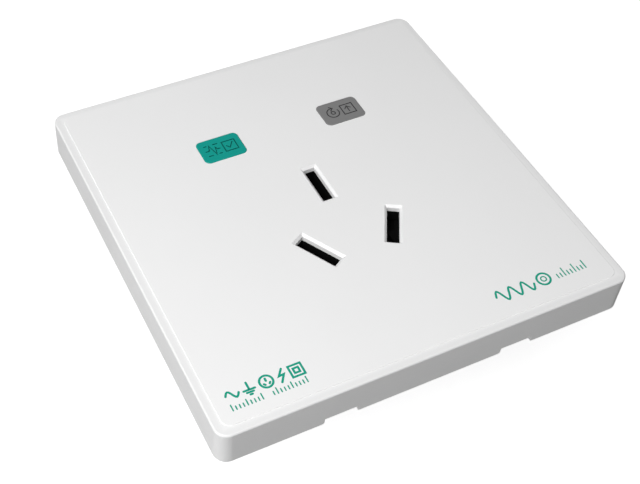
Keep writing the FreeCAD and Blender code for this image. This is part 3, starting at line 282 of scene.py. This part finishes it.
NODE_LOOKS = {
    "faceplate": cover_white,
    "mounting_frame": frame_white,
    "contact_carrier": frame_white,
    "rear_housing": housing_white,
    "socket_core": core_black,
    "pin_shutter": core_black,
    "housing_screws": zinc,
    "terminal_screws": zinc,
    "line_contact": brass,
    "neutral_contact": brass,
    "earth_contact": brass,
    "line_terminal": brass,
    "neutral_terminal": brass,
    "earth_terminal": brass,
    "line_input_strip": brass,
    "line_output_strip": brass,
    "neutral_input_strip": brass,
    "neutral_output_strip": brass,
    "earth_strip": brass,
    "test_leaf": brass,
    "test_contact_pin": brass,
    "fixed_contact_tips": silver,
    "bridge_tips": silver,
    "line_bridge": copper,
    "neutral_bridge": copper,
    "circuit_board": lacquer,
    "processor_chip": resin_black,
    "varistor": varistor_blue,
    "filter_capacitor": film_yellow,
    "bulk_capacitor": can_metal,
    "supply_choke": ferrite,
    "current_sensor": ferrite,
    "solenoid_yoke": zinc,
    "solenoid_bobbin": resin_black,
    "solenoid_coil": winding,
    "solenoid_plunger": steel,
    "plunger_spring": steel,
    "contact_carriage": carriage_brown,
    "bridge_springs": steel,
    "latch_plate": steel,
    "shutter_spring": steel,
    "test_button": teal_plastic,
    "test_button_spring": steel,
    "reset_button": slate_plastic,
    "reset_stem": steel,
    "reset_button_spring": steel,
}


def dress_nodes():
    """Gives every CAD node its material."""
    for name, material in NODE_LOOKS.items():
        slots = nodes[name].data.materials
        slots.clear()
        slots.append(material)


# Geometry helpers

MITRE_LIMIT = 0.35
END_STEPS = 6


def object_from(name, bm, *materials):
    """A mesh object with its materials, from a bmesh."""
    mesh = bpy.data.meshes.new(name)
    bm.to_mesh(mesh)
    bm.free()
    for material in materials:
        mesh.materials.append(material)
    piece = bpy.data.objects.new(name, mesh)
    bpy.context.scene.collection.objects.link(piece)
    return piece


def side_points(path, half):
    """Points at a half width to the left of a path in plan, with mitred bends."""
    points = []
    for index, point in enumerate(path):
        here = Vector(point)
        legs = []
        if index > 0:
            legs.append((here - Vector(path[index - 1])).normalized())
        if index < len(path) - 1:
            legs.append((Vector(path[index + 1]) - here).normalized())
        along = (legs[0] + legs[-1]).normalized()
        reach = half / max(along.dot(legs[0]), MITRE_LIMIT)
        points.append((here.x - along.y * reach, here.y + along.x * reach))
    return points


def round_end(centre, towards, half):
    """A half circle round the end of a stroke, on the side that it points to."""
    base = math.degrees(math.atan2(towards.y, towards.x))
    return arc_points(centre, half, base + 90, base - 90, END_STEPS)[1:-1]


def stroke_outline(path, width):
    """The closed outline of a stroke along an open path, with round ends."""
    half = width / 2
    last = (Vector(path[-1]) - Vector(path[-2])).normalized()
    first = (Vector(path[0]) - Vector(path[1])).normalized()
    there = side_points(path, half) + round_end(path[-1], last, half)
    back = side_points(path[::-1], half) + round_end(path[0], first, half)
    return there + back


def add_prism(bm, outline, low, high):
    """Adds a closed upright prism over an outline in plan."""
    bottom = [bm.verts.new((x, y, low)) for x, y in outline]
    top = [bm.verts.new((x, y, high)) for x, y in outline]
    bm.faces.new(top)
    bm.faces.new(bottom[::-1])
    count = len(outline)
    for index in range(count):
        following = (index + 1) % count
        bm.faces.new((bottom[index], bottom[following], top[following], top[index]))


def arc_points(centre, radius, start, end, count):
    """Points on an arc in plan; angles in degrees."""
    points = []
    for step in range(count + 1):
        turn = math.radians(start + (end - start) * step / count)
        points.append((centre[0] + radius * math.cos(turn), centre[1] + radius * math.sin(turn)))
    return points


def add_ring(bm, loop, width, low, high):
    """Adds a closed stroke of a width along a closed path in plan."""
    lengthened = [loop[-2]] + loop + [loop[1]]
    outer = side_points(lengthened, -width / 2)[1:-2]
    inner = side_points(lengthened, width / 2)[1:-2]
    rows = []
    for side, z in ((outer, low), (outer, high), (inner, high), (inner, low)):
        rows.append([bm.verts.new((x, y, z)) for x, y in side])
    count = len(outer)
    for row, following_row in zip(rows, rows[1:] + rows[:1]):
        for index in range(count):
            following = (index + 1) % count
            bm.faces.new((row[index], row[following], following_row[following], following_row[index]))


def strokes_mesh(paths, width, low, high):
    """A bmesh of strokes. A path that ends where it starts is closed."""
    bm = bmesh.new()
    for path in paths:
        if Vector(path[0]) == Vector(path[-1]):
            add_ring(bm, path, width, low, high)
        else:
            add_prism(bm, stroke_outline(path, width), low, high)
    bmesh.ops.recalc_face_normals(bm, faces=bm.faces)
    return bm


# Buttons with an engraved sign

SIGN_WIDTH = 0.24 * MM
SIGN_DEPTH = 0.16 * MM
CAP_GROWTH = 0.11 * MM
MERGE_DISTANCE = 1e-7


def placed(paths, centre):
    """Paths in millimetres about a centre, moved into plan."""
    return [[(centre[0] + x * MM, centre[1] + y * MM) for x, y in path] for path in paths]


def square_loop(centre, half):
    """A closed square in plan."""
    corners = [(-half, -half), (half, -half), (half, half), (-half, half), (-half, -half)]
    return [(centre[0] + x, centre[1] + y) for x, y in corners]


def circle_loop(centre, radius, count=24):
    """A closed circle in plan."""
    points = arc_points(centre, radius, 0, 360, count)
    return points[:-1] + points[:1]


def engraved_button(node, body, sign, groove_shade_material):
    """A button made from its CAD node, with a sign cut into its cap and painted shade in the sign's
    grooves.
    """
    low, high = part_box(node)
    centre = ((low[0] + high[0]) / 2, (low[1] + high[1]) / 2)
    cutter_mesh = strokes_mesh(placed(sign, centre), SIGN_WIDTH, high[2] - SIGN_DEPTH, high[2] + MM)
    cutter = object_from(node + "_cutter", cutter_mesh, groove_shade_material)
    cap_mesh = bmesh_of(nodes[node])
    for vertex in cap_mesh.verts:
        if vertex.co.z > FACE_UNDER_Z:
            for axis in (0, 1):
                vertex.co[axis] += math.copysign(CAP_GROWTH, vertex.co[axis] - centre[axis])
    cap = object_from(node + "_cap", cap_mesh, NODE_LOOKS[node], groove_shade_material)
    cut = cap.modifiers.new("sign", "BOOLEAN")
    cut.operation = "DIFFERENCE"
    cut.solver = "EXACT"
    cut.use_self = True
    cut.material_mode = "TRANSFER"
    cut.object = cutter
    bake_modifiers(cap)
    bpy.data.objects.remove(cutter)
    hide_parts(node)
    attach(cap, body)


def bmesh_of(source):
    """A bmesh copy of an object's mesh."""
    bm = bmesh.new()
    bm.from_mesh(source.data)
    bmesh.ops.remove_doubles(bm, verts=bm.verts, dist=MERGE_DISTANCE)
    return bm


def bake_modifiers(piece):
    """Applies a piece's modifiers to its mesh."""
    depsgraph = bpy.context.evaluated_depsgraph_get()
    mesh = bpy.data.meshes.new_from_object(piece.evaluated_get(depsgraph), depsgraph=depsgraph)
    piece.modifiers.clear()
    piece.data = mesh


# Signs on the buttons: a pulse beside a tick in a square, and a turning arrow beside an arrow in a square
PULSE_SIGN = [
    [(-3.4, 0), (-2.7, 0), (-2.25, 1.4), (-1.55, -1.4), (-1.1, 0.6), (-0.8, 0), (-0.3, 0)],
    [(-3.3, 1.5), (-2.8, 1.5)],
    [(-1.3, 1.5), (-0.4, 1.5)],
    [(-3.3, -1.4), (-2.4, -1.4)],
    [(-0.9, -1.4), (-0.4, -1.4)],
    square_loop((1.95, 0), 1.4),
    [(1.2, 0.1), (1.75, -0.6), (2.75, 0.8)],
]
RETURN_SIGN = [
    arc_points((-1.8, 0), 1.35, 75, 385, 20),
    [(-2.0, 0.75), (-1.4, 1.31), (-2.0, 1.85)],
    circle_loop((-1.8, 0), 0.45, 12),
    square_loop((1.75, 0), 1.4),
    [(1.75, -0.8), (1.75, 0.6)],
    [(1.1, 0.15), (1.75, 0.85), (2.4, 0.15)],
]


# Springs

def shortening_spring(deforming):
    """A coil made from its CAD node, fixed to the housing."""
    node = deforming["node"]
    coil = bpy.data.objects.new(node + "_coil", nodes[node].data.copy())
    bpy.context.scene.collection.objects.link(coil)
    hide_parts(node)
    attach(coil, "housing")
    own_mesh(coil)


# Raised marks on the housing wall

INK_THICKNESS = 0.02 * MM
TERMINAL_PITCH = 15
MARK_ROW_Z = -17.4 * MM
MARK_WIDTH = 0.4 * MM
MARK_HEIGHT = 0.25 * MM
NEUTRAL_SIGN = [[(-0.85, -1.2), (-0.85, 1.2), (0.85, -1.2), (0.85, 1.2)]]
LINE_SIGN = [[(-0.6, 1.2), (-0.6, -1.2), (0.8, -1.2)]]
EARTH_SIGN = [
    [(0, 1.3), (0, 0.1)],
    [(-1.25, 0.1), (1.25, 0.1)],
    [(-0.75, -0.5), (0.75, -0.5)],
    [(-0.3, -1.1), (0.3, -1.1)],
]


def terminal_marks():
    """The usual signs over the terminal screws: neutral, earth and line."""
    wall_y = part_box("rear_housing")[0][1]
    paths = []
    for x, sign in ((-TERMINAL_PITCH, NEUTRAL_SIGN), (0, EARTH_SIGN), (TERMINAL_PITCH, LINE_SIGN)):
        paths += placed(sign, (x * MM, MARK_ROW_Z))
    bm = strokes_mesh(paths, MARK_WIDTH, -INK_THICKNESS, MARK_HEIGHT)
    onto_wall = Matrix.Translation((0, wall_y, 0)) @ Matrix.Rotation(math.radians(90), 4, "X")
    bm.transform(onto_wall)
    piece = object_from("terminal_marks", bm, housing_white)
    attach(piece, "housing")


# Chip resistors under the circuit board

CHIP_ROWS = 4
CHIP_COLUMNS = 3
CHIP_START = (-3.6 * MM, -1.0 * MM)
CHIP_PITCH = (3.6 * MM, 3.2 * MM)
CHIP_LENGTH = 1.3 * MM
CHIP_END = 0.35 * MM
CHIP_WIDTH = 1.25 * MM
CHIP_HEIGHT = 0.5 * MM


def chip_resistors():
    """Rows of small chip resistors, with their tinned ends."""
    board_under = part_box("circuit_board")[0][2]
    low = board_under - CHIP_HEIGHT
    bodies = bmesh.new()
    ends = bmesh.new()
    for row in range(CHIP_ROWS):
        for column in range(CHIP_COLUMNS):
            x = CHIP_START[0] + CHIP_PITCH[0] * column
            y = CHIP_START[1] + CHIP_PITCH[1] * row
            add_prism(bodies, box_outline(x, y, CHIP_LENGTH, CHIP_WIDTH), low, board_under)
            for side in (-1, 1):
                place = x + side * (CHIP_LENGTH + CHIP_END) / 2
                add_prism(ends, box_outline(place, y, CHIP_END, CHIP_WIDTH), low, board_under)
    for name, bm, material, slot in (
        ("chip_bodies", bodies, resin_black, "black_plastic"),
        ("chip_ends", ends, silver, "silver_tip"),
    ):
        bmesh.ops.recalc_face_normals(bm, faces=bm.faces)
        piece = object_from(name, bm, material)
        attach(piece, "housing")


def box_outline(x, y, length, width):
    """A rectangle about a centre, in plan."""
    return [(x + a * length / 2, y + b * width / 2) for a, b in ((-1, -1), (1, -1), (1, 1), (-1, 1))]


# Printed marks on the face

# Rows and stroke widths
SIGN_ROW_Y = -35.55
SCALE_ROW_Y = -38.6
WAVE_ROW_Y = -36.5
SIGN_INK = 0.42 * MM
SCALE_INK = 0.25 * MM
WAVE_STEPS = 12


def printed(name, paths, width):
    """A mark printed on the face."""
    bm = strokes_mesh(paths, width, FACE_Z - INK_THICKNESS, FACE_Z + INK_THICKNESS)
    piece = object_from(name, bm, teal_ink)
    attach(piece, "housing")


def wave(x, y, length, height, periods):
    """A sine wave in millimetres, from a starting point."""
    count = WAVE_STEPS * periods
    points = []
    for step in range(count + 1):
        turn = 2 * math.pi * periods * step / count
        points.append((x + length * step / count, y + height / 2 * math.sin(turn)))
    return points


def ticks(x, y, pitch, count, heights):
    """A row of upright strokes that stand on one line, in turn of the given heights."""
    rows = []
    for index in range(count):
        place = x + pitch * index
        rows.append([(place, y), (place, y + heights[index % len(heights)])])
    return rows


def print_left_marks():
    """Plain signs for current, earth, socket, spark and double insulation, over two small scales."""
    y = SIGN_ROW_Y
    signs = [
        wave(-38.4, y, 2.5, 1.5, 1),
        [(-34.0, y + 1.25), (-34.0, y - 0.05)],
        [(-35.1, y - 0.3), (-32.9, y - 0.3)],
        [(-34.65, y - 0.8), (-33.35, y - 0.8)],
        [(-34.2, y - 1.3), (-33.8, y - 1.3)],
        circle_loop((-30.6, y), 1.25),
        [(-30.6, y + 0.65), (-30.6, y + 0.15)],
        [(-31.2, y - 0.35), (-31.0, y - 0.6)],
        [(-30.0, y - 0.35), (-30.2, y - 0.6)],
        [(-27.1, y + 1.35), (-28.1, y + 0.05), (-27.1, y + 0.15), (-28.1, y - 1.3)],
        square_loop((-24.7, y), 1.2),
        square_loop((-24.7, y), 0.5),
    ]
    printed("print_signs", placed(signs, (0, 0)), SIGN_INK)
    scales = ticks(-38.3, SCALE_ROW_Y, 0.72, 9, (1.2, 0.7, 0.7, 0.7))
    scales += ticks(-30.4, SCALE_ROW_Y, 0.72, 10, (0.7, 1.2, 0.7, 0.7))
    printed("print_scales", placed(scales, (0, 0)), SCALE_INK)


def print_right_marks():
    """A wave that runs into a ring, and a small scale beside it."""
    y = WAVE_ROW_Y
    ring_centre = (27.3, y + 0.2)
    wave_and_ring = [wave(16.6, y, 8.4, 2.5, 3), circle_loop(ring_centre, 1.35)]
    printed("print_wave", placed(wave_and_ring, (0, 0)), SIGN_INK)
    printed("print_ring", placed([circle_loop(ring_centre, 0.55, 16)], (0, 0)), SCALE_INK)
    printed("print_ticks", placed(ticks(30.2, y - 0.8, 0.78, 9, (0.9, 0.9, 1.9)), (0, 0)), SCALE_INK)


# Stage

FLOOR_SIZE = 3.0
FLOOR_COLOUR = 0.4

# The floor's own light for the camera, near the part and from LIFT_FAR outwards
FLOOR_LIFT = 0.85
LIFT_NEAR = 0.15
LIFT_FAR = 0.5
WORLD_STRENGTH = 0.0


def stage_floor():
    """The pale floor that the outlet lies on."""
    half = FLOOR_SIZE / 2
    bm = bmesh.new()
    corners = ((-half, -half), (half, -half), (half, half), (-half, half))
    bm.faces.new([bm.verts.new((x, y, FLOOR_Z)) for x, y in corners])
    material, tree, shader = new_material("floor_white")
    shader.inputs["Base Color"].default_value = (*grey(FLOOR_COLOUR), 1)
    shader.inputs["Roughness"].default_value = 0.9
    shader.inputs["Specular IOR Level"].default_value = 0.0
    floor = object_from("floor", bm, material)
    lift_for_camera(tree, shader)


def lift_for_camera(tree, shader):
    """Adds some light of its own to the floor where the camera sees it, so that it reads as white."""
    path = tree.nodes.new("ShaderNodeLightPath")
    coords = tree.nodes.new("ShaderNodeTexCoord")
    length = tree.nodes.new("ShaderNodeVectorMath")
    length.operation = "LENGTH"
    tree.links.new(coords.outputs["Object"], length.inputs["Vector"])
    rise = tree.nodes.new("ShaderNodeMapRange")
    rise.interpolation_type = "SMOOTHSTEP"
    rise.inputs["From Min"].default_value = LIFT_NEAR
    rise.inputs["From Max"].default_value = LIFT_FAR
    rise.inputs["To Min"].default_value = FLOOR_LIFT
    rise.inputs["To Max"].default_value = 1.0
    tree.links.new(length.outputs["Value"], rise.inputs["Value"])
    lift = tree.nodes.new("ShaderNodeEmission")
    lift.inputs["Color"].default_value = (1, 1, 1, 1)
    strength = math_node(tree, "MULTIPLY", path.outputs["Is Camera Ray"], rise.outputs["Result"])
    tree.links.new(strength, lift.inputs["Strength"])
    total = tree.nodes.new("ShaderNodeAddShader")
    output = tree.nodes["Material Output"]
    tree.links.new(shader.outputs["BSDF"], total.inputs[0])
    tree.links.new(lift.outputs["Emission"], total.inputs[1])
    tree.links.new(total.outputs["Shader"], output.inputs["Surface"])


def stage_world():
    """Surroundings that give no light of their own, seen as white by the camera and in reflections."""
    world = bpy.data.worlds.new("studio")
    bpy.context.scene.world = world
    world.use_nodes = True
    tree = world.node_tree
    tree.nodes.clear()
    output = tree.nodes.new("ShaderNodeOutputWorld")
    path = tree.nodes.new("ShaderNodeLightPath")
    around = tree.nodes.new("ShaderNodeBackground")
    around.inputs["Strength"].default_value = WORLD_STRENGTH
    seen = tree.nodes.new("ShaderNodeBackground")
    seen.inputs["Color"].default_value = (1, 1, 1, 1)
    seen.inputs["Strength"].default_value = 1.0
    source = path.outputs["Is Camera Ray"]
    for name in ("Is Glossy Ray", "Is Transmission Ray"):
        source = math_node(tree, "MAXIMUM", source, path.outputs[name])
    mix = tree.nodes.new("ShaderNodeMixShader")
    tree.links.new(source, mix.inputs["Fac"])
    tree.links.new(around.outputs["Background"], mix.inputs[1])
    tree.links.new(seen.outputs["Background"], mix.inputs[2])
    tree.links.new(mix.outputs["Shader"], output.inputs["Surface"])


def area_light(name, azimuth, elevation, distance, size, power):
    """A soft square light aimed at the plate. Azimuth 0 is +X, 90 is +Y; degrees."""
    turn = math.radians(azimuth)
    lift = math.radians(elevation)
    level = math.cos(lift)
    direction = Vector((math.cos(turn) * level, math.sin(turn) * level, math.sin(lift)))
    place = direction * distance
    data = bpy.data.lights.new(name, "AREA")
    data.shape = "SQUARE"
    data.size = size
    data.energy = power
    lamp = bpy.data.objects.new(name, data)
    lamp.location = place
    lamp.rotation_euler = (-place).to_track_quat("-Z", "Y").to_euler()
    bpy.context.scene.collection.objects.link(lamp)


# Name, azimuth, elevation, distance in metres, size in metres and power in watts
LIGHTS = [
    ("key_left", 210, 50, 0.5, 0.30, 2.60),
    ("overhead", 0, 90, 0.5, 0.30, 0.46),
    ("low_left", 180, 25, 0.5, 0.30, 0.34),
    ("low_front", 330, 25, 0.5, 0.30, 0.07),
    ("floor_back", 45, -0.4, 1.0, 0.06, 2.6),
]


# The photograph's viewpoint: metres, degrees and millimetres of lens
CAMERA_PLACE = (-0.08477, -0.13253, 0.17504)
CAMERA_TURN = (40.574, -1.806, -25.466)
CAMERA_LENS = 64.235
CAMERA_SHIFT_X = 0.1016
SENSOR_WIDTH = 36.0
CLIP_START = 0.01


def stage_camera():
    """The camera at the photograph's viewing angle."""
    data = bpy.data.cameras.new("camera")
    data.sensor_width = SENSOR_WIDTH
    data.lens = CAMERA_LENS
    data.shift_x = CAMERA_SHIFT_X
    data.clip_start = CLIP_START
    camera = bpy.data.objects.new("camera", data)
    camera.location = CAMERA_PLACE
    camera.rotation_euler = Euler([math.radians(a) for a in CAMERA_TURN])
    bpy.context.scene.collection.objects.link(camera)
    bpy.context.scene.camera = camera


# The scene

dress_nodes()
engraved_button("test_button", "test_key", PULSE_SIGN, teal_groove_painted_shade)
engraved_button("reset_button", "reset_key", RETURN_SIGN, slate_groove_painted_shade)
for moving in frame["joints"]:
    for changing in moving.get("deforming_nodes", []):
        shortening_spring(changing)
terminal_marks()
chip_resistors()
print_left_marks()
print_right_marks()
stage_floor()
stage_world()
for light in LIGHTS:
    area_light(*light)
stage_camera()
bpy.context.scene.view_settings.view_transform = "Standard"
